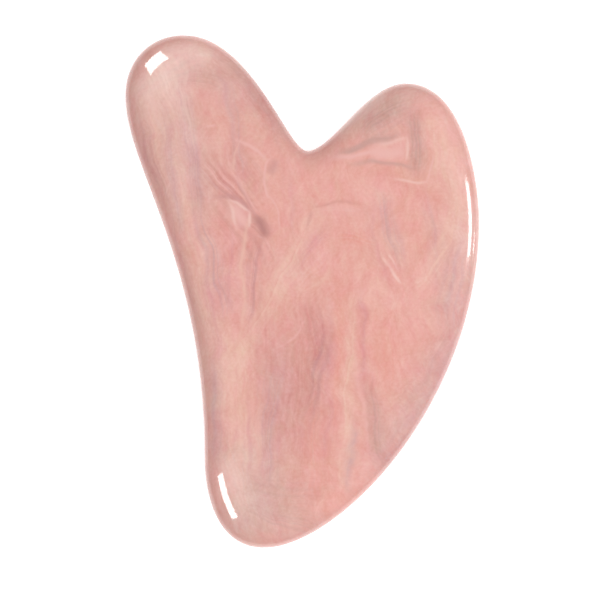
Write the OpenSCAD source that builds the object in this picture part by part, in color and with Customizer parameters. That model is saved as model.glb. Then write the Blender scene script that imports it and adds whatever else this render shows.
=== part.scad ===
// Gua sha scraper: one solid heart-shaped board with a rounded rim and two flat faces.
// The board lies flat, with Z through its thickness and Y from the heel up to the horns.
// The origin is under the middle of its outline's box, on the face that it lies on.

/* [Overall size] */
// Length from the heel to the top of the long horn
length = 80; // [64:0.5:100]
// Width from the long horn's side to the belly
width = 55.3; // [48:0.1:68]
// Thickness between the two flat faces
thickness = 6; // [5:0.1:8]

/* [Rim] */
// Width of the rounded rim, from the edge to where the face is flat
rim_width = 4.5; // [3.8:0.1:5.5]
// Radius of the rim's nose, the line that touches the skin
nose_radius = 2; // [1.2:0.05:2.3]

/* [Long horn] */
// Distance of the horn's top from the board's left side
long_top_in = 9.2; // [7:0.1:12]
// Drop from the horn's top to where its side is upright
long_side_drop = 9.3; // [7:0.1:12]

/* [Short horn] */
// Distance of the horn's top from the board's right side
short_top_in = 11.5; // [9:0.1:14]
// Drop from the long horn's top to this one's
short_drop = 7.5; // [0:0.1:9]

/* [Notch] */
// Distance of the notch's bottom from the board's left side
notch_in = 28.4; // [26:0.1:31]
// Depth of the notch below the long horn's top
notch_depth = 18; // [15:0.1:22]

/* [Waist, heel and belly] */
// How far the hollow waist comes in from the board's left side
waist_in = 12.4; // [8:0.1:15]
// Height of the waist's deepest point above the heel
waist_height = 13.8; // [11:0.1:17]
// Distance of the heel's lowest point from the board's left side
heel_in = 21.7; // [20:0.1:25]
// Drop from the long horn's top to the belly's widest point
belly_drop = 29.1; // [24:0.1:34]

/* [Smoothness] */
// Longest step between points along the outline
outline_step = 2.8; // [2:0.1:5]
// Facets on each of the rim's two curves
rim_facets = 4; // [3:1:6]

/* [Hidden] */
rose = [0.90, 0.69, 0.67];

half_thickness = thickness / 2;
fewest_steps = 12;

// The outline turns where it is level or upright. Each turn is [place, direction of travel],
// going anticlockwise, with the board's left side and the heel's lowest point at zero.
left = [-1, 0];
right = [1, 0];
up = [0, 1];
down = [0, -1];
turns = [
    [[0, length - long_side_drop], down],
    [[waist_in, waist_height], down],
    [[heel_in, 0], right],
    [[width, length - belly_drop], up],
    [[width - short_top_in, length - short_drop], left],
    [[notch_in, length - notch_depth], left],
    [[long_top_in, length], left],
];

// Fullness of the stretch after each turn: how far each end keeps its direction,
// as a share of the way that the stretch runs in that direction.
fullness = [
    [0.20, 0.55], // long horn's side to the waist, which the neck or calf fits
    [0.25, 0.90], // waist to the heel
    [0.35, 0.55], // heel to the belly
    [0.30, 0.80], // belly to the short horn
    [0.40, 0.25], // short horn to the notch
    [0.15, 0.55], // notch to the long horn
    [0.60, 0.55], // long horn's top to its side
];

function run(way, direction) = abs(way * direction);

// The four control points of the stretch that starts at turn i
function controls(i) =
    let (
        from = turns[i],
        to = turns[(i + 1) % len(turns)],
        way = to[0] - from[0]
    ) [
        from[0],
        from[0] + from[1] * fullness[i][0] * run(way, from[1]),
        to[0] - to[1] * fullness[i][1] * run(way, to[1]),
        to[0],
    ];

function bezier(c, t) =
    pow(1 - t, 3) * c[0] + 3 * pow(1 - t, 2) * t * c[1] + 3 * (1 - t) * pow(t, 2) * c[2] + pow(t, 3) * c[3];

function heading(c, t) =
    pow(1 - t, 2) * (c[1] - c[0]) + 2 * (1 - t) * t * (c[2] - c[1]) + pow(t, 2) * (c[3] - c[2]);

function steps(c) = max(fewest_steps, ceil(norm(c[3] - c[0]) / outline_step));

function inward(v) = [-v[1], v[0]] / norm(v);

// Each outline point is [place, inward normal]
middle = [width, length] / 2;
outline = [
    for (i = [0 : len(turns) - 1])
        let (c = controls(i))
        for (s = [0 : steps(c) - 1])
            let (t = s / steps(c))
            [bezier(c, t) - middle, inward(heading(c, t))]
];

// The rim's section is a small nose curve that runs smoothly into a wide shoulder curve,
// and the shoulder runs smoothly into the flat face. Each point is [inset, height above the middle].
shoulder_radius = (pow(rim_width - nose_radius, 2) + pow(half_thickness, 2) - pow(nose_radius, 2))
    / (2 * (half_thickness - nose_radius));
meeting_angle = acos((rim_width - nose_radius) / (shoulder_radius - nose_radius));

function arc_point(centre, radius, angle) = centre + radius * [-cos(angle), sin(angle)];

section = [
    for (k = [0 : rim_facets - 1])
        arc_point([nose_radius, 0], nose_radius, meeting_angle * k / rim_facets),
    for (k = [0 : rim_facets])
        arc_point([rim_width, half_thickness - shoulder_radius], shoulder_radius,
            meeting_angle + (90 - meeting_angle) * k / rim_facets),
];

// The caps fan out from a hub under the notch, from where the whole outline is in sight.
hub = [notch_in, (length - notch_depth) / 2] - middle;

// One half of the board, from its middle plane up to a flat face
module half_board() {
    around = len(outline);
    rings = len(section);
    hub_below = around * rings;
    hub_above = hub_below + 1;
    points = [
        for (s = section)
            for (o = outline)
                let (place = o[0] + s[0] * o[1])
                [place[0], place[1], s[1]],
        [hub[0], hub[1], 0],
        [hub[0], hub[1], half_thickness],
    ];
    sides = [
        for (r = [0 : rings - 2])
            for (i = [0 : around - 1])
                let (
                    a = r * around + i,
                    b = r * around + (i + 1) % around
                )
                each [[a, a + around, b + around], [a, b + around, b]]
    ];
    caps = [
        for (i = [0 : around - 1])
            let (
                next = (i + 1) % around,
                top = (rings - 1) * around
            )
            each [[hub_below, i, next], [hub_above, top + next, top + i]]
    ];
    polyhedron(points, concat(sides, caps), convexity = 4);
}

module scraper() {
    color(rose)
        translate([0, 0, half_thickness]) {
            half_board();
            mirror([0, 0, 1])
                half_board();
        }
}

scraper();
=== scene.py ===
# %% [markdown]
# A gua sha scraper is a flat board with a rounded rim, drawn along the skin. It is cast in
# resin that was stirred while it set, so pale and dark streaks run through it, and it is
# polished all over.
#
# The frame brings in the board as it was designed: its outline, its thickness and its place.
# The lesson gives it a smooth skin, a marbled finish and a place in soft light.

# %% Load the frame
import math

import bmesh
import bpy
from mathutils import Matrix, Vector


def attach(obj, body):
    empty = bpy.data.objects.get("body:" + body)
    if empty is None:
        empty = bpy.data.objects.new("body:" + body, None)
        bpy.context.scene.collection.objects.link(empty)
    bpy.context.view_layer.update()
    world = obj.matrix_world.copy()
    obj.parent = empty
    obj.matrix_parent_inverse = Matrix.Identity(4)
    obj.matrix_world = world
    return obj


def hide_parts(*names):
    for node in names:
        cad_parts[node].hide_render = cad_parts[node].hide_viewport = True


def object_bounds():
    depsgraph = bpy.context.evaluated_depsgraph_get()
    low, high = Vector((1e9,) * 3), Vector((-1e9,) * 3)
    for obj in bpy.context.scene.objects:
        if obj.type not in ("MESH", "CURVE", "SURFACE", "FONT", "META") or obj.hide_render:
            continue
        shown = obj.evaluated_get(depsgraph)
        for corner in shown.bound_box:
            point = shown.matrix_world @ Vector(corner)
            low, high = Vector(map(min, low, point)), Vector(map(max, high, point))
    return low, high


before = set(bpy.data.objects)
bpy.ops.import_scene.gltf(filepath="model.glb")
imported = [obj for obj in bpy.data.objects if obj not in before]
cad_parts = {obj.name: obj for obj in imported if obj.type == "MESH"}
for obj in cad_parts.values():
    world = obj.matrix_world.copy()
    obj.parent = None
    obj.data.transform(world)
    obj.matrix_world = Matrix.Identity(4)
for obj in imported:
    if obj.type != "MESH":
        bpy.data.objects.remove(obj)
cad_low, cad_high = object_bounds()
MM = 0.001
print("board size in mm:", [round(side / MM, 2) for side in cad_high - cad_low])


# %% [markdown]
# Operators act on whatever is selected, and the frame's own pieces arrive selected. These
# helpers start each step from a clean selection, and pick out points by their place.

# %% Helpers for selecting
def only(piece):
    """Select one object and nothing else, in object mode."""
    if bpy.context.object and bpy.context.object.mode != "OBJECT":
        bpy.ops.object.mode_set(mode="OBJECT")
    bpy.ops.object.select_all(action="DESELECT")
    piece.select_set(True)
    bpy.context.view_layer.objects.active = piece


def pick_points(piece, wanted):
    """Select the points of a mesh in edit mode whose place passes the test."""
    bpy.ops.mesh.select_mode(type="VERT")
    bpy.ops.mesh.select_all(action="DESELECT")
    points = bmesh.from_edit_mesh(piece.data)
    for point in points.verts:
        point.select_set(wanted(point.co))
    points.select_flush_mode()
    bmesh.update_edit_mesh(piece.data)


# %% [markdown]
# The board's edge is one closed curve, widest at half its thickness. The designed board has
# that curve as a ring of straight steps. A copy of the board is cut down to that ring, and
# the ring becomes a Bezier curve, whose automatic handles run smoothly through every point.
# That keeps the designed outline, and gives as many points as a polished edge needs.

# %% The outline, as a smooth curve
SAME_HEIGHT = 0.01 * MM
SAME_POINT = 0.005 * MM
STEPS_PER_POINT = 6
only(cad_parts["scraper"])
bpy.ops.object.duplicate()
board = bpy.context.object
board.name = board.data.name = "scraper_board"
middle = (cad_low.z + cad_high.z) / 2
top_points = [v.co for v in board.data.vertices if cad_high.z - v.co.z < SAME_HEIGHT]
rim_width = cad_high.x - max(point.x for point in top_points)
print("rim width in mm:", round(rim_width / MM, 3))

bpy.ops.object.mode_set(mode="EDIT")
bpy.ops.mesh.select_all(action="SELECT")
bpy.ops.mesh.remove_doubles(threshold=SAME_POINT)
pick_points(board, lambda spot: abs(spot.z - middle) > SAME_HEIGHT)
bpy.ops.mesh.delete(type="VERT")
bpy.ops.object.mode_set(mode="OBJECT")
print("points on the designed outline:", len(board.data.vertices))

bpy.ops.object.convert(target="CURVE")
bpy.ops.object.mode_set(mode="EDIT")
bpy.ops.curve.select_all(action="SELECT")
bpy.ops.curve.spline_type_set(type="BEZIER")
bpy.ops.curve.handle_type_set(type="AUTOMATIC")
bpy.ops.object.mode_set(mode="OBJECT")
board.data.resolution_u = STEPS_PER_POINT
bpy.ops.object.convert(target="MESH")
board = bpy.context.object
print("points on the smooth outline:", len(board.data.vertices))


# %% [markdown]
# The rim is what touches the skin, so its section is two curves that flow into each other:
# a small nose at the very edge, then a wide shoulder that ends level with the flat face.
# The outline is filled with one face, and that face is inset again and again. Each inset
# comes in a little and rises a little, as the two curves do, so the rings follow the rim.

# %% The rim's section
NOSE_RADIUS = 2 * MM
NOSE_RINGS = 9
SHOULDER_RINGS = 15
half_thickness = cad_high.z - middle
over_nose = rim_width - NOSE_RADIUS
shoulder_radius = (over_nose**2 + half_thickness**2 - NOSE_RADIUS**2) / (
    2 * (half_thickness - NOSE_RADIUS)
)
meeting_angle = math.acos(over_nose / (shoulder_radius - NOSE_RADIUS))


def arc_point(inset, height, radius, angle):
    """A point of the section, as its inset from the edge and its height above the middle."""
    return Vector((inset - radius * math.cos(angle), height + radius * math.sin(angle)))


section = []
for ring in range(NOSE_RINGS):
    angle = meeting_angle * ring / NOSE_RINGS
    section.append(arc_point(NOSE_RADIUS, 0, NOSE_RADIUS, angle))
for ring in range(SHOULDER_RINGS + 1):
    angle = meeting_angle + (math.pi / 2 - meeting_angle) * ring / SHOULDER_RINGS
    section.append(
        arc_point(rim_width, half_thickness - shoulder_radius, shoulder_radius, angle)
    )
print("shoulder radius in mm:", round(shoulder_radius / MM, 2), "rings:", len(section))

# %% The upper half, inset along the section
only(board)
bpy.ops.object.mode_set(mode="EDIT")
bpy.ops.mesh.select_all(action="SELECT")
bpy.ops.mesh.edge_face_add()
bpy.ops.mesh.normals_make_consistent(inside=False)
if bmesh.from_edit_mesh(board.data).faces[:][0].normal.z < 0:
    bpy.ops.mesh.flip_normals()
for here, there in zip(section, section[1:]):
    step = there - here
    bpy.ops.mesh.inset(thickness=step.x, depth=step.y, use_even_offset=True)
bpy.ops.object.mode_set(mode="OBJECT")
print("faces of the upper half:", len(board.data.polygons))


# %% [markdown]
# The flat face is still one face with hundreds of sides. A hand-polished face is never quite
# flat, and shows it in how a lamp's reflection bends, so the face is cut into small squares
# that can follow a gentle swell. A bisect cuts straight across whatever is selected.

# %% Squares across the flat face
SQUARE = 1 * MM
LEVEL_WITH_TOP = 0.002 * MM
SNAP = 0.001 * MM
only(board)
bpy.ops.object.mode_set(mode="EDIT")
for axis in (0, 1):
    across = Vector((1, 0, 0)) if axis == 0 else Vector((0, 1, 0))
    cuts = int((cad_high[axis] - cad_low[axis]) / SQUARE)
    for cut in range(1, cuts):
        pick_points(board, lambda spot: cad_high.z - spot.z < LEVEL_WITH_TOP)
        line = Vector((0, 0, 0))
        line[axis] = cad_low[axis] + cut * SQUARE
        bpy.ops.mesh.bisect(plane_co=line, plane_no=across, threshold=SNAP)
bpy.ops.object.mode_set(mode="OBJECT")
print("faces with the flat face cut:", len(board.data.polygons))

# %% [markdown]
# Both faces of the board are alike, so the lower half is the upper one mirrored in the
# middle plane. The half is moved until that plane is at the origin, mirrored there, and
# moved back. A mirrored half can come out inside out, so its normals are worked out again.

# %% The lower half
only(board)
bpy.ops.object.mode_set(mode="EDIT")
bpy.ops.mesh.select_all(action="SELECT")
bpy.ops.transform.translate(value=(0, 0, -middle))
bpy.ops.object.mode_set(mode="OBJECT")
mirror = board.modifiers.new("lower_half", "MIRROR")
mirror.use_axis = (False, False, True)
mirror.merge_threshold = SNAP
bpy.ops.object.modifier_apply(modifier=mirror.name)
bpy.ops.object.mode_set(mode="EDIT")
bpy.ops.mesh.select_all(action="SELECT")
bpy.ops.transform.translate(value=(0, 0, middle))
bpy.ops.mesh.normals_make_consistent(inside=False)
bpy.ops.object.mode_set(mode="OBJECT")
print("faces of the whole board:", len(board.data.polygons))

# %% [markdown]
# Polishing takes a little more off in one place than in another. A Displace modifier sinks
# the surface by a few hundredths of a millimetre, in swells about as wide as a fingertip.
# It only ever sinks, so the board stays inside its designed size.

# %% The swell of a hand polish
SWELL_DEPTH = 0.05 * MM
SWELL_WIDTH = 11 * MM
only(board)
swell = bpy.data.textures.new("polish_swell", "CLOUDS")
swell.noise_scale = SWELL_WIDTH
swell.noise_depth = 0
polish = board.modifiers.new("polish", "DISPLACE")
polish.texture = swell
polish.texture_coords = "LOCAL"
polish.strength = SWELL_DEPTH
polish.mid_level = 1
bpy.ops.object.modifier_apply(modifier=polish.name)
bpy.ops.object.shade_smooth()
depths = [cad_high.z - v.co.z for v in board.data.vertices if v.normal.z > 0.999]
print("swell in mm:", round(min(depths) / MM, 3), "to", round(max(depths) / MM, 3))


# %% [markdown]
# A finish is a tree of nodes, and most of them do sums. This class wraps one socket, so that
# a sum written in Python adds the Math nodes that work it out. Every other node comes from
# the one function after it, which sets what kind of node it is before it fills its sockets.

# %% Sums on sockets
class Value:
    """One number or vector of a finish, which adds Math nodes when it is used in a sum."""

    def __init__(self, socket):
        self.socket = socket

    def math(self, operation, *numbers):
        """A Math node on these numbers, some of which are Values."""
        settings = {"operation": operation}
        return node(self.socket.id_data, "ShaderNodeMath", settings, dict(enumerate(numbers)))

    def __add__(self, other):
        return self.math("ADD", self, other)

    def __sub__(self, other):
        return self.math("SUBTRACT", self, other)

    def __mul__(self, other):
        return self.math("MULTIPLY", self, other)

    def __radd__(self, other):
        return self.math("ADD", other, self)

    def __rsub__(self, other):
        return self.math("SUBTRACT", other, self)

    def __rmul__(self, other):
        return self.math("MULTIPLY", other, self)

    def __abs__(self):
        return self.math("ABSOLUTE", self)

    def exponential(self):
        return self.math("EXPONENT", self)


def node(tree, kind, settings=None, sockets=None, output=0):
    """Add a node, set it up, fill or link its sockets, and wrap one of its outputs."""
    made = tree.nodes.new(kind)
    for name, setting in (settings or {}).items():
        setattr(made, name, setting)
    for key, content in (sockets or {}).items():
        if isinstance(content, Value):
            tree.links.new(content.socket, made.inputs[key])
        else:
            made.inputs[key].default_value = content
    return None if output is None else Value(made.outputs[output])


# %% [markdown]
# Colours are easiest to choose as a screen shows them, from 0 to 255, but a shader sums
# light, which is not what a screen's numbers count. This turns one into the other, by the
# standard curve that screens follow. The board's own colour is a little darker than it
# looks, because the studio lights add to it.

# %% Colours as they look
STUDIO_GAIN = 1.24


def look(red, green, blue):
    """The surface colour that looks like this under the studio lights."""
    light = []
    for channel in (red, green, blue):
        part = channel / 255
        part = part / 12.92 if part <= 0.04045 else ((part + 0.055) / 1.055) ** 2.4
        light.append(part / STUDIO_GAIN)
    return (*light, 1)


SALMON = look(235, 173, 162)
ORANGE = look(233, 162, 149)
CREAM = look(237, 189, 173)
PALE = look(248, 210, 200)
FOG = look(219, 188, 179)
BLUSH = look(239, 185, 178)
ROSE = look(221, 156, 157)
LILAC = look(213, 167, 165)
GREY = look(199, 157, 149)
DEEP = look(213, 149, 141)
MAUVE = look(201, 144, 143)
UMBER = look(184, 126, 121)
print("salmon as a surface colour:", [round(part, 3) for part in SALMON[:3]])

# %% [markdown]
# Stirred resin is painted here as a painter would, in strokes laid one over another: broad
# cloudy ones first, then the threads. A stroke runs from one place to another, in
# millimetres across the face. It may bow, to its left as it runs when the bow is positive.
# It fades at its sides and ends, and it may be split into strands that run along it.
#
# The strokes are drawn on a place that has been shaken a little by noise, so that none is
# ruled straight. The place also leans with depth, so streaks slant as they cross the rim
# and the lower face shows them moved along and shaken another way.

# %% A place in the stirred resin
finish = bpy.data.materials.new("marbled_resin_finish")
finish.use_nodes = True
tree = finish.node_tree
tree.nodes.clear()
SHAKE = 2.6
LEAN = Vector((0.55, -0.4, 0))
mm_place = node(
    tree,
    "ShaderNodeMapping",
    {"vector_type": "POINT"},
    {
        "Vector": node(tree, "ShaderNodeTexCoord", output="Object"),
        "Scale": (1 / MM, 1 / MM, 1 / MM),
        "Location": (0, 0, -cad_high.z / MM),
    },
)
shaking = node(
    tree,
    "ShaderNodeTexNoise",
    {"noise_dimensions": "3D"},
    {"Vector": mm_place, "Scale": 0.17, "Detail": 2, "Roughness": 0.4},
    output="Color",
)
shaking = node(
    tree, "ShaderNodeVectorMath", {"operation": "SUBTRACT"}, {0: shaking, 1: (0.5, 0.5, 0.5)}
)
shaken = node(
    tree,
    "ShaderNodeVectorMath",
    {"operation": "MULTIPLY_ADD"},
    {0: shaking, 1: (SHAKE, SHAKE, 0), 2: mm_place},
)
depth = node(tree, "ShaderNodeSeparateXYZ", None, {0: mm_place}, output="Z")
place = node(
    tree,
    "ShaderNodeVectorMath",
    {"operation": "MULTIPLY_ADD"},
    {0: depth, 1: LEAN, 2: shaken},
)
thickness = 2 * half_thickness / MM
print("lean from face to face in mm:", [round(part * thickness, 1) for part in LEAN])


# %% [markdown]
# More than a hundred strokes would fill the finish with sums, so a stroke is built once, as
# a node group, and used again and again. There are two: a plain stroke, and one that noise
# splits into strands.

# %% One stroke, as a group
THREAD_FINENESS = 1.5
THREAD_DRIFT = 0.04


def dot(tree, first, second):
    """The dot product of two vectors."""
    settings = {"operation": "DOT_PRODUCT"}
    return node(tree, "ShaderNodeVectorMath", settings, {0: first, 1: second}, "Value")


def stroke_group(name, stranded):
    """A node group that says how much of a stroke there is at a place, from 0 to 1."""
    group = bpy.data.node_groups.new(name, "ShaderNodeTree")
    for vector in ("Place", "Start", "Along", "Across"):
        group.interface.new_socket(vector, in_out="INPUT", socket_type="NodeSocketVector")
    for number in ("Bow", "Strands", "Length", "Width"):
        group.interface.new_socket(number, in_out="INPUT", socket_type="NodeSocketFloat")
    group.interface.new_socket("Amount", in_out="OUTPUT", socket_type="NodeSocketFloat")
    given = group.nodes.new("NodeGroupInput").outputs
    way = node(
        group,
        "ShaderNodeVectorMath",
        {"operation": "SUBTRACT"},
        {0: Value(given["Place"]), 1: Value(given["Start"])},
    )
    position = dot(group, way, Value(given["Along"])) - 1
    squared = position * position
    offset = dot(group, way, Value(given["Across"])) + (squared - 1) * Value(given["Bow"])
    fall = offset * offset + squared * squared
    amount = (fall * -1).exponential()
    if stranded:
        lines = threads(group, position, offset, Value(given["Length"]), Value(given["Width"]))
        amount = amount * (1 + Value(given["Strands"]) * (lines - 1))
    node(group, "NodeGroupOutput", None, {"Amount": amount}, output=None)
    return group


def threads(group, position, offset, length, width):
    """Fine lines that run along a stroke and drift slowly across it."""
    across = offset * width * THREAD_FINENESS
    drift = position * length * THREAD_DRIFT
    apart = length + width
    lines = node(
        group,
        "ShaderNodeTexNoise",
        {"noise_dimensions": "1D"},
        {"W": across + drift + apart, "Scale": 1, "Detail": 2, "Roughness": 0.6},
    )
    return node(
        group,
        "ShaderNodeMapRange",
        {"interpolation_type": "SMOOTHSTEP"},
        {"Value": lines, "From Min": 0.38, "From Max": 0.62},
    )


PLAIN_STROKE = stroke_group("plain_stroke", stranded=False)
STRANDED_STROKE = stroke_group("stranded_stroke", stranded=True)
print("nodes in a stroke:", len(PLAIN_STROKE.nodes), "or", len(STRANDED_STROKE.nodes))


# %% Painting with strokes
def stroke(start, end, width, bow, strands):
    """How much of a stroke from start to end there is at the place."""
    start, end = Vector((*start, 0)), Vector((*end, 0))
    run = end - start
    along = run.normalized()
    across = Vector((-along.y, along.x, 0))
    sockets = {
        "Place": place,
        "Start": start,
        "Along": 2 / run.length * along,
        "Across": across / width,
        "Bow": bow / width,
        "Strands": strands,
        "Length": run.length,
        "Width": width,
    }
    group = STRANDED_STROKE if strands else PLAIN_STROKE
    return node(tree, "ShaderNodeGroup", {"node_tree": group}, sockets)


def blend(under, over, amount):
    """One colour mixed over another, which a Mix node takes in its sockets 6 and 7."""
    return node(
        tree, "ShaderNodeMix", {"data_type": "RGBA"}, {0: amount, 6: under, 7: over}, output=2
    )


def paint(colour, strokes, patches=1):
    """Lay strokes over a colour: (start, end, width, bow, strands, paint, strength)."""
    for start, end, width, bow, strands, over, strength in strokes:
        amount = stroke(start, end, width, bow, strands) * (strength * patches)
        colour = blend(colour, over, amount)
    return colour


# %% [markdown]
# First the broad, cloudy strokes, which set how light or dark each part of the board is.
# Some are painted light: shade along the left rim, a pale haze round the glints on the
# horn and the heel, and light on the short horn's flank by the notch.

# %% Clouds, painted shade and painted highlights
CLOUDS = [
    # a fog over the horns, the sides and the heel
    ((-26, 34), (-15, 12), 6, 0, 0.2, FOG, 0.5),
    ((-14, 36), (-4, 24), 4, 0, 0.2, FOG, 0.35),
    ((-17, 4), (-13, -20), 3.5, 0, 0.2, FOG, 0.3),
    ((-11, -22), (-4, -38), 6, 0, 0.2, FOG, 0.4),
    ((-4, -6), (-2, -26), 3.5, 0, 0.3, FOG, 0.25),
    ((26, 18), (23, -8), 3, 0, 0.2, FOG, 0.35),
    ((23, -6), (10, -30), 3, 0, 0.2, LILAC, 0.4),
    ((6, 26), (20, 33), 3, 0, 0.2, FOG, 0.35),
    # the long horn and the side under it
    # painted highlight: the pale strokes of this group on the horn's tip are a soft haze round
    # its glint
    ((-24, 34), (-13, 37), 2.6, 0.5, 0.25, PALE, 0.65),
    ((-26, 30), (-15, 36), 2.2, 0.5, 0.5, FOG, 0.5),
    ((-23, 35), (-19, 28), 3, 0, 0.4, PALE, 0.75),
    ((-24, 30), (-18.5, 11), 2.3, -0.3, 0.65, CREAM, 0.75),
    ((-19, 14), (-13.5, -8), 2.1, 0.3, 0.65, CREAM, 0.65),
    ((-18.6, 31), (-15.4, 12), 1.2, 0, 0.6, LILAC, 0.95),
    ((-16, 12), (-12, -3), 1.4, 0, 0.6, LILAC, 0.85),
    ((-18.5, 33), (-11.5, 31), 1.8, 1.2, 0.5, GREY, 0.4),
    # painted shade: these two mauve strokes darken the left rim, which is turned from the
    # softbox
    ((-25.4, 27), (-21.2, 13), 1.5, -0.2, 0.35, MAUVE, 0.6),
    ((-21.4, 14), (-17.2, -4), 0.9, 0.2, 0.55, MAUVE, 0.4),
    ((-14, 38), (-2, 23), 2, 1.5, 0.5, GREY, 0.5),
    ((-13, 34), (-5, 25), 1.6, 1, 0.65, DEEP, 0.35),
    ((-14, 27), (-5, 25), 2.4, 0, 0.45, ORANGE, 0.35),
    ((-11, 23), (-5.5, 15), 1.9, 0, 0.55, DEEP, 0.5),
    ((-15, 20), (-7, 12), 2.2, 0, 0.9, DEEP, 0.8),
    ((-13, 14), (-5, 4), 2.4, 0, 0.65, DEEP, 0.65),
    ((-21.5, 27), (-18.5, 9), 0.8, -0.2, 0.4, LILAC, 0.7),
    ((-12.5, 33), (-9, 18), 1, 0.4, 0.5, LILAC, 0.6),
    ((-12, 36), (-3, 24), 1.6, 0.8, 0.4, MAUVE, 0.4),
    ((-15, 4), (-12.5, -12), 0.8, 0.2, 0.4, ROSE, 0.5),
    # painted highlight: two more pale strokes of the haze round the horn's glint
    ((-22, 37.5), (-14, 36), 1.8, 0.3, 0.3, PALE, 0.6),
    ((-25.5, 33), (-22.5, 26), 1.6, 0, 0.3, PALE, 0.4),
    ((-19, 31), (-16.5, 22), 1.3, 0, 0.4, PALE, 0.45),
    # the middle
    ((-3, 22), (-1.5, 8), 1.1, 0.3, 0.5, ROSE, 0.4),
    ((10.5, 14), (13, 2), 1, -0.6, 0.5, ROSE, 0.45),
    ((-4, 19), (9, 17), 3, 0, 0.35, SALMON, 0.6),
    ((-4, 16), (-3, 6), 1.8, 0, 0.55, SALMON, 0.6),
    ((-7.2, 7), (-8.4, -5), 1.2, 0.2, 0.65, MAUVE, 0.65),
    ((-11, 9), (-11.4, -3), 1.4, 0, 0.65, ROSE, 0.45),
    ((-3.5, 6), (-6.5, -3), 1.2, 0, 0.65, DEEP, 0.3),
    ((3.3, 10), (-2.5, 2), 1.2, 0.2, 0.55, ROSE, 0.7),
    ((1.5, 12), (-12.5, -14), 1.7, 0.8, 0.5, CREAM, 0.95),
    ((4.5, 6), (-2, 0), 1.5, -0.3, 0.85, BLUSH, 0.5),
    ((-1, -2), (-7, -9), 1.7, 0, 0.9, CREAM, 0.45),
    ((0.5, 0), (1.5, -24), 3.6, 0, 0.45, DEEP, 0.5),
    ((-6, -3), (-5, -18), 2.4, 0, 0.55, DEEP, 0.4),
    ((1.5, -2), (3.2, -12), 2, 0, 0.55, DEEP, 0.9),
    ((3.5, -7), (1.2, -20), 1.2, -0.3, 0.65, MAUVE, 0.8),
    ((-1.5, -8), (-1.5, -22), 2.3, 0, 0.65, DEEP, 0.65),
    ((-4, -11), (-5, -30), 1.7, -0.5, 0.65, LILAC, 0.9),
    ((0.5, -12), (-0.5, -30), 2, 0, 0.5, DEEP, 0.5),
    ((-4, -6), (-4, -26), 3.2, 0, 0.4, DEEP, 0.35),
    # the heel
    ((-11, -33), (4, -36.5), 2.6, -0.8, 0.4, GREY, 0.5),
    ((-12, -22), (-7, -36), 3, 0.5, 0.4, FOG, 0.5),
    ((-11, -6), (-9.5, -32), 2.6, 0, 0.75, CREAM, 0.5),
    ((-13.9, -11), (-13.4, -26), 0.9, 0, 0.45, LILAC, 0.8),
    # painted highlight: a pale haze beside the heel's glint
    ((-11.5, -26), (-9, -34), 2.2, 0, 0.25, PALE, 0.45),
    ((-13, -33), (-8, -38), 1.8, 0.4, 0.3, FOG, 0.45),
    ((-9, -30), (3, -31), 2.6, -0.4, 0.45, GREY, 0.35),
    ((2.5, -17), (2, -33), 2.4, 0, 0.55, ORANGE, 0.6),
    # the belly
    ((4.2, -3), (3.6, -26), 0.9, 0.3, 0.5, ROSE, 0.55),
    ((19, 14), (21, 2), 1.2, 0.5, 0.5, LILAC, 0.5),
    ((6.2, 0), (5, -20), 1.1, 0, 0.3, ORANGE, 0.8),
    ((8.3, -1), (6.7, -31), 1, -0.4, 0.45, CREAM, 0.95),
    ((9.4, -1), (9.2, -14), 0.7, 0.3, 0.45, ROSE, 0.75),
    ((10.5, -13), (12, -29), 1.3, 0, 0.3, GREY, 0.65),
    ((12, -3), (13.5, -15), 3.4, 0, 0.35, ORANGE, 0.7),
    ((13, -19), (19, -14), 2.3, 0, 0.75, CREAM, 0.35),
    ((23, -4), (14, -23), 1.7, 1.2, 0.5, GREY, 0.4),
    ((24.5, 9), (22.5, -5), 1.8, 0, 0.55, LILAC, 0.75),
    ((23.5, 25), (25, 4), 1.6, -0.5, 0.45, PALE, 0.4),
    ((15, 17), (18, 4), 3.2, 0, 0.45, ORANGE, 0.2),
    ((10, 7), (19, 5), 2.4, 0, 0.45, CREAM, 0.3),
    ((12, 15), (15.2, 4.5), 1, 0, 0.55, LILAC, 0.8),
    ((23.2, 15), (17.5, 0.5), 1.2, 1.8, 0.5, CREAM, 0.85),
    ((5, 8.3), (11, 7.6), 1.2, 0, 0.9, ORANGE, 0.6),
    ((25.5, -2), (12, -27), 2.4, 1.5, 0.5, LILAC, 0.65),
    # the short horn
    # painted light: pale over the short horn's flank by the notch, which the softbox leaves
    # darker
    ((3, 25), (12.5, 33), 2, 0, 0.2, PALE, 0.9),
    ((9.5, 24.5), (16.5, 29), 2.1, 0.6, 0.4, GREY, 0.8),
    ((17.6, 28), (17.6, 18.5), 1.5, 0, 0.35, GREY, 0.8),
    ((21, 28), (21.8, 17), 1.6, 0, 0.45, CREAM, 0.95),
    ((19.5, 30), (24.5, 20), 0.9, 0.8, 0.55, BLUSH, 0.6),
]
colour = paint(SALMON, CLOUDS)
print("cloudy strokes:", len(CLOUDS), "nodes so far:", len(tree.nodes))

# %% [markdown]
# Between the strokes the resin is never one plain colour. Noise tints it, in swirls, in
# faint fibres and in a fine grain. Each tint shifts the colour one way as much as the
# other, mostly between light and dark and a little between pink and grey.

# %% Swirls, fibres and grain
TINTS = [
    # where it starts, its turn, its size across, along and down, its swirl, its colour shift
    ((3, 0, 0), 0, (5, 5, 4), 1, (0.1, 0.13, 0.13)),
    ((7, 4, 0), 0, (4, 4, 4), 1, (0.02, -0.07, -0.01)),
    ((5, 5, 0), 20, (0.9, 5, 2), 0.4, (0.06, 0.08, 0.08)),
    ((9, 1, 0), -26, (0.8, 4.5, 2), 0.4, (0.05, 0.06, 0.06)),
    ((1, 8, 0), 5, (0.7, 5, 2), 0.4, (0.01, -0.05, -0.02)),
    ((2, 6, 0), 0, (0.45, 0.45, 0.45), 0, (0.08, 0.1, 0.09)),
]


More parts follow.
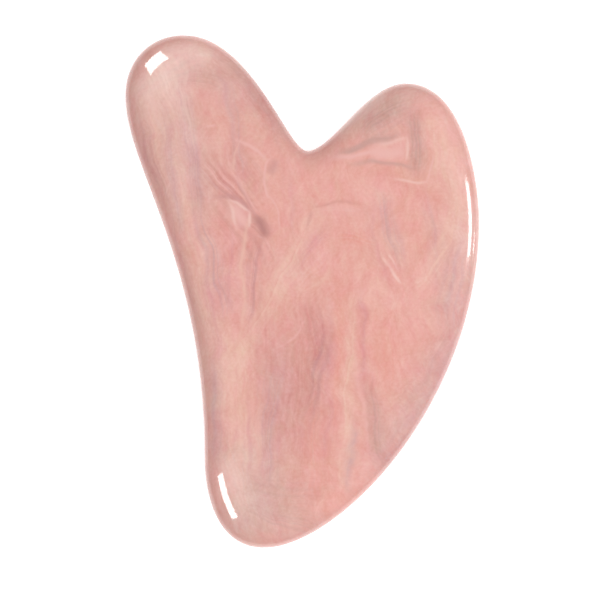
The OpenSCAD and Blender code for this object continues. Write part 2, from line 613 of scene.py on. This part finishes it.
def tint(colour, start, turn, size, swirl, shift):
    """Shift the colour by noise."""
    moved = node(
        tree,
        "ShaderNodeMapping",
        {"vector_type": "TEXTURE"},
        {
            "Vector": place,
            "Location": start,
            "Rotation": (0, 0, math.radians(turn)),
            "Scale": size,
        },
    )
    noise = node(
        tree,
        "ShaderNodeTexNoise",
        {"noise_dimensions": "3D"},
        {"Vector": moved, "Scale": 1, "Detail": 3, "Roughness": 0.5, "Distortion": swirl},
    )
    settings = {"operation": "MULTIPLY_ADD"}
    return node(tree, "ShaderNodeVectorMath", settings, {0: noise - 0.5, 1: shift, 2: colour})


for row in TINTS:
    colour = tint(colour, *row)
print("tints:", len(TINTS))

# %% [markdown]
# Then the threads: where two pourings of resin met, a fine line of the paler one was drawn
# out between them. They cross the clouds, and fan out on the long horn's side.
# None is whole: noise says how much of a thread is left from one place to the next.

# %% Threads
THREADS = [
    # the fan
    ((-15.3, 20), (-11, 15.6), 0.22, -0.2, 0, BLUSH, 0.7),
    ((-13, 19.5), (-8.5, 14.2), 0.22, -0.3, 0, BLUSH, 0.6),
    ((-11.6, 22), (-7.6, 13.6), 0.19, -0.5, 0, BLUSH, 0.6),
    ((-9.6, 17.8), (-6.4, 12.4), 0.19, -0.3, 0, BLUSH, 0.6),
    ((-15, 18), (-9, 13.6), 0.26, -0.3, 0, MAUVE, 0.45),
    ((-12.6, 17.4), (-7, 12), 0.22, -0.3, 0, MAUVE, 0.4),
    ((-10, 17.4), (-5.6, 10.4), 0.24, -0.3, 0, MAUVE, 0.5),
    ((-15.2, 25.6), (-13.4, 25.6), 0.22, 0, 0, BLUSH, 0.75),
    # the long thread down from the chip
    ((-9.2, 3.4), (-9.9, -8), 0.27, 0.3, 0, CREAM, 0.75),
    ((-7.6, 8.4), (-5.2, 6.9), 0.27, 0.1, 0, BLUSH, 0.75),
    ((-14.4, 6), (-10.8, -3), 0.27, -0.4, 0, MAUVE, 0.35),
    # threads of the middle
    ((0.5, -4.4), (-4, -8.4), 0.22, 0.3, 0, BLUSH, 0.6),
    ((4.2, 4.4), (0.6, 0.4), 0.3, 0.8, 0, CREAM, 0.6),
    ((1.5, 13.2), (8.5, 14), 0.3, 0.3, 0, DEEP, 0.7),
    ((1.2, 12.4), (1, 9.8), 0.27, 0, 0, DEEP, 0.7),
    ((1.8, 12.2), (9.8, 12.6), 0.7, 0.4, 0.3, BLUSH, 0.8),
    # threads of the belly
    ((12.4, 5.6), (15.2, 1.7), 0.27, -0.3, 0, PALE, 0.7),
    ((13.2, 6), (14.6, 3.6), 0.19, 0, 0, PALE, 0.5),
    ((14, 0), (13.6, -3), 0.8, 0, 0.5, PALE, 0.4),
    ((17, 1.6), (19.8, 2.4), 0.5, 0, 0.4, PALE, 0.4),
    ((8.4, -11), (10, -25), 0.35, 0.3, 0, BLUSH, 0.6),
    ((7.9, -20), (7, -31), 0.7, 0, 0.2, LILAC, 0.8),
    ((-6.4, -17), (-7.1, -28), 0.5, 0, 0.2, CREAM, 0.6),
    ((-8.3, -16), (-8.4, -28), 0.35, 0, 0.2, ROSE, 0.5),
]
broken = node(
    tree,
    "ShaderNodeTexNoise",
    {"noise_dimensions": "3D"},
    {"Vector": mm_place, "Scale": 0.7, "Detail": 2, "Roughness": 0.6},
)
broken = node(
    tree,
    "ShaderNodeMapRange",
    {"interpolation_type": "SMOOTHSTEP"},
    {"Value": broken, "From Min": 0.35, "From Max": 0.65, "To Min": 0.55, "To Max": 1},
)
colour = paint(colour, THREADS, broken)
print("threads:", len(THREADS), "nodes so far:", len(tree.nodes))

# %% [markdown]
# A few marks stay whole. One is the pale chip, which left a dark hollow beside it. Others
# are the wavy thread above the chip, and the pale wedge on the short horn.

# %% The whole marks
MARKS = [
    # the wavy thread and the dark hollow beside it
    ((-5.2, 18.6), (-4.2, 20.6), 0.6, 0, 0, MAUVE, 0.5),
    ((-10.4, 18.5), (-9.3, 23.8), 0.2, 0.3, 0, CREAM, 0.5),
    ((-9.8, 23.8), (-5.6, 20.6), 0.3, 0.4, 0, BLUSH, 0.9),
    ((-5.2, 20.8), (-5.8, 17.6), 0.2, -0.3, 0, BLUSH, 0.9),
    ((-5.9, 17.8), (-4.8, 14.6), 0.18, -0.2, 0, BLUSH, 0.9),
    ((-4.8, 14.8), (-3.8, 9.5), 0.15, 0.3, 0, BLUSH, 0.6),
    # the pale chip and its shadow
    ((-13.5, 15), (-8, 13), 0.5, 0.3, 0, MAUVE, 0.5),
    ((-7.3, 12), (-6.2, 8), 0.95, 0.3, 0, UMBER, 0.85),
    ((-11.2, 13.2), (-8.5, 10.2), 1.2, 0, 0, BLUSH, 0.95),
    ((-11.6, 14), (-8.1, 12.6), 0.24, 0.1, 0, PALE, 0.6),
    ((-8.1, 12.6), (-8.4, 9.8), 0.26, 0.1, 0, PALE, 0.65),
    ((-11.6, 13.8), (-10.2, 9.8), 0.26, 0, 0, PALE, 0.5),
    ((-8.6, 10.4), (-9.2, 3), 0.3, -0.2, 0, CREAM, 0.7),
    # the short horn's wedge
    ((5.4, 21.4), (14.5, 24.6), 0.6, 0, 0.2, GREY, 0.9),
    ((4.5, 20.6), (12, 21.6), 0.45, 0.1, 0, BLUSH, 0.9),
    ((10.5, 21.4), (15.4, 22.2), 1.1, 0, 0, BLUSH, 0.9),
    ((12, 23), (15.6, 24.1), 0.3, 0.1, 0, PALE, 0.4),
    ((15.8, 24.1), (15.7, 20.8), 0.3, 0.1, 0, PALE, 0.5),
    ((8, 19.9), (17, 19.4), 0.4, 0.3, 0.2, GREY, 0.6),
    ((14, 17.2), (19.2, 17.1), 0.3, -0.2, 0, PALE, 0.5),
    ((19.2, 17.2), (20.4, 20.5), 0.2, -0.2, 0, BLUSH, 0.7),
]
colour = paint(colour, MARKS)
print("marks:", len(MARKS), "nodes so far:", len(tree.nodes))

# %% [markdown]
# The rim is painted darker, as painted shade: umber is mixed in where the rim curves away
# from the flat faces, as a rim turned from the lights looks darker. How far a place is above
# or below the middle plane, in millimetres, says how far out on the rim it is.

# %% Painted shade on the rim
RIM_SHADE = 0.2
RIM_STARTS = 2.9
RIM_FULL = 1.4
from_middle = abs(depth + half_thickness / MM)
rim = node(
    tree,
    "ShaderNodeMapRange",
    {"interpolation_type": "SMOOTHSTEP"},
    {"Value": from_middle, "From Min": RIM_STARTS, "From Max": RIM_FULL},
)
# painted shade: umber mixed over the rim
colour = blend(colour, UMBER, rim * RIM_SHADE)
print("nodes in all:", len(tree.nodes))

# %% [markdown]
# The resin is a little milky: light goes in, scatters and comes out pink. The polish on top
# is as smooth as glass, which the coat gives.

# %% The polished resin
surface = node(
    tree,
    "ShaderNodeBsdfPrincipled",
    None,
    {
        "Base Color": colour,
        "Roughness": 0.14,
        "IOR": 1.5,
        "Subsurface Weight": 0.2,
        "Subsurface Radius": (1, 0.45, 0.35),
        "Subsurface Scale": 2 * MM,
        "Coat Weight": 0.6,
        "Coat Roughness": 0.02,
    },
    output="BSDF",
)
node(tree, "ShaderNodeOutputMaterial", None, {"Surface": surface}, output=None)
board.data.materials.clear()
board.data.materials.append(finish)
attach(board, "root")
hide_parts("scraper")
print("finished piece:", board.name, "with", finish.name)

# %% [markdown]
# The camera looks straight down on the board. A long lens from well above keeps the outline
# true, as a catalogue picture would.

# %% The camera
LENS = 100
SENSOR = 36
VIEW_WIDTH = 93.63 * MM
AIM = Vector((-0.37 * MM, -1.31 * MM, middle))
camera_data = bpy.data.cameras.new("camera")
camera_data.lens = LENS
camera_data.sensor_width = SENSOR
camera_data.clip_start = 10 * MM
camera = bpy.data.objects.new("camera", camera_data)
camera.location = AIM + Vector((0, 0, VIEW_WIDTH * LENS / SENSOR))
bpy.context.scene.collection.objects.link(camera)
bpy.context.scene.camera = camera
print("camera height in mm:", round(camera.location.z / MM, 1))

# %% [markdown]
# The board lies on a plain pale table that is lit from within, so no shadow falls on it and
# the board's very edge glows a little. A wide softbox stands over the board's right side,
# which leaves the left rim darker, and pale walls light the rest. That softbox is kept out
# of reflections, where it would hide the marbling. The small bright shapes on the polished
# rim are reflections of four more softboxes, two held close and two further off, and only
# reflections see those.

# %% The table
TABLE_SIZE = 4
TABLE_COLOUR = (0.92, 0.92, 0.92, 1)
TABLE_GLOW = 0.45
only(board)
bpy.ops.object.select_all(action="DESELECT")
bpy.ops.mesh.primitive_plane_add(size=TABLE_SIZE, location=(0, 0, 0))
table = bpy.context.object
table.name = "table"
table_finish = bpy.data.materials.new("pale_table")
table_finish.use_nodes = True
table_shader = table_finish.node_tree.nodes["Principled BSDF"]
table_shader.inputs["Base Color"].default_value = TABLE_COLOUR
table_shader.inputs["Roughness"].default_value = 0.9
table_shader.inputs["Specular IOR Level"].default_value = 0.1
table_shader.inputs["Emission Color"].default_value = (1, 1, 1, 1)
table_shader.inputs["Emission Strength"].default_value = TABLE_GLOW
table.data.materials.append(table_finish)
print("table size in metres:", TABLE_SIZE)

# %% The lights
WALLS = 0.4
world = bpy.data.worlds.new("pale_walls")
world.use_nodes = True
world.node_tree.nodes["Background"].inputs["Color"].default_value = (1, 1, 1, 1)
world.node_tree.nodes["Background"].inputs["Strength"].default_value = WALLS
bpy.context.scene.world = world
bpy.context.scene.view_settings.view_transform = "Standard"


def softbox(name, aim, distance, bearing, tilt, width, height, radiance, only_glint):
    """A rectangular light that looks at a place from a bearing, tilt degrees off overhead."""
    width, height = width * MM, height * MM
    turn, lean = math.radians(bearing), math.radians(tilt)
    away = Vector(
        (math.sin(lean) * math.cos(turn), math.sin(lean) * math.sin(turn), math.cos(lean))
    )
    lamp = bpy.data.lights.new(name, "AREA")
    lamp.shape = "RECTANGLE"
    lamp.size, lamp.size_y = width, height
    lamp.energy = radiance * math.pi * width * height
    light = bpy.data.objects.new(name, lamp)
    light.location = (Vector(aim) + distance * away) * MM
    light.rotation_euler = (lean, 0, turn + math.pi / 2)
    light.visible_diffuse = not only_glint
    light.visible_glossy = only_glint
    light.visible_camera = False
    bpy.context.scene.collection.objects.link(light)


softbox("overhead", (0, 0, 0), 550, -25, 19, 700, 700, 2.65, only_glint=False)
GLINTS = [
    # name, what it shines on, distance, bearing, tilt, width, height, brightness
    ("horn_glint", (-22.6, 35.5, 5.5), 6, 131, 41, 5.4, 5.5, 12),
    ("heel_glint", (-11.8, -32, 5.5), 6, 203, 41, 9.2, 3, 12),
    ("belly_glint", (26, 13, 4), 300, 4.2, 66, 90, 60, 12),
    ("belly_line", (26.7, 8.5, 3.5), 300, -1.5, 84, 25, 14, 14),
]
for row in GLINTS:
    softbox(*row, only_glint=True)
print("softboxes:", 1 + len(GLINTS))
